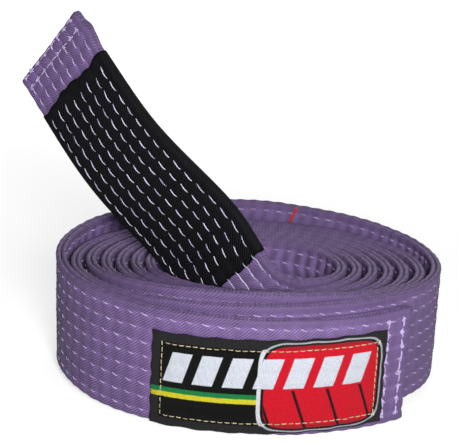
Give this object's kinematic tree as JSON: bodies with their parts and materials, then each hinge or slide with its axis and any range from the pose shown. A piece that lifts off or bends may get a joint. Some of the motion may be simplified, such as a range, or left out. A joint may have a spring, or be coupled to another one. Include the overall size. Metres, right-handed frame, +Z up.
{
  "type": "martial arts belt",
  "caption": "Quilted cotton martial arts belt rolled into a loose oval coil on its edge, free end with a rank bar rising from it.",
  "frame": {"origin": "centre of the coil, on the ground the belt's lower edge rests on", "axes": "+Z up, +X to the right along the coil's long way as seen from the label, +Y from the label towards the back"},
  "size_m": [0.172, 0.1306, 0.1424],
  "materials": {
    "cover_canvas": "purple cotton drill, soft satin twill",
    "core_cotton": "undyed cotton ply, matt",
    "lilac_thread": "light lilac sewing thread",
    "bar_canvas": "black cotton drill, matt",
    "label_weave": "woven damask label, matt",
    "gold_thread": "dull gold sewing thread",
    "red_thread": "red sewing thread"
  },
  "bodies": {
    "root": {"cover_face_strip": "cover_canvas", "cover_back_strip": "cover_canvas", "core_ply_face": "core_cotton", "core_ply_middle": "core_cotton", "core_ply_back": "core_cotton", "quilting_row_1": "lilac_thread", "quilting_row_2": "lilac_thread", "quilting_row_3": "lilac_thread", "quilting_row_4": "lilac_thread", "quilting_row_5": "lilac_thread", "quilting_row_6": "lilac_thread", "quilting_row_7": "lilac_thread", "quilting_row_8": "lilac_thread", "rank_bar_sleeve": "bar_canvas", "rank_bar_stitching": "lilac_thread", "label_patch": "label_weave", "label_border_stitch": "gold_thread", "outer_end_cross_stitch": "lilac_thread", "inner_tip_cross_stitch": "lilac_thread", "red_marker_tack": "red_thread"}
  },
  "joints": []
}
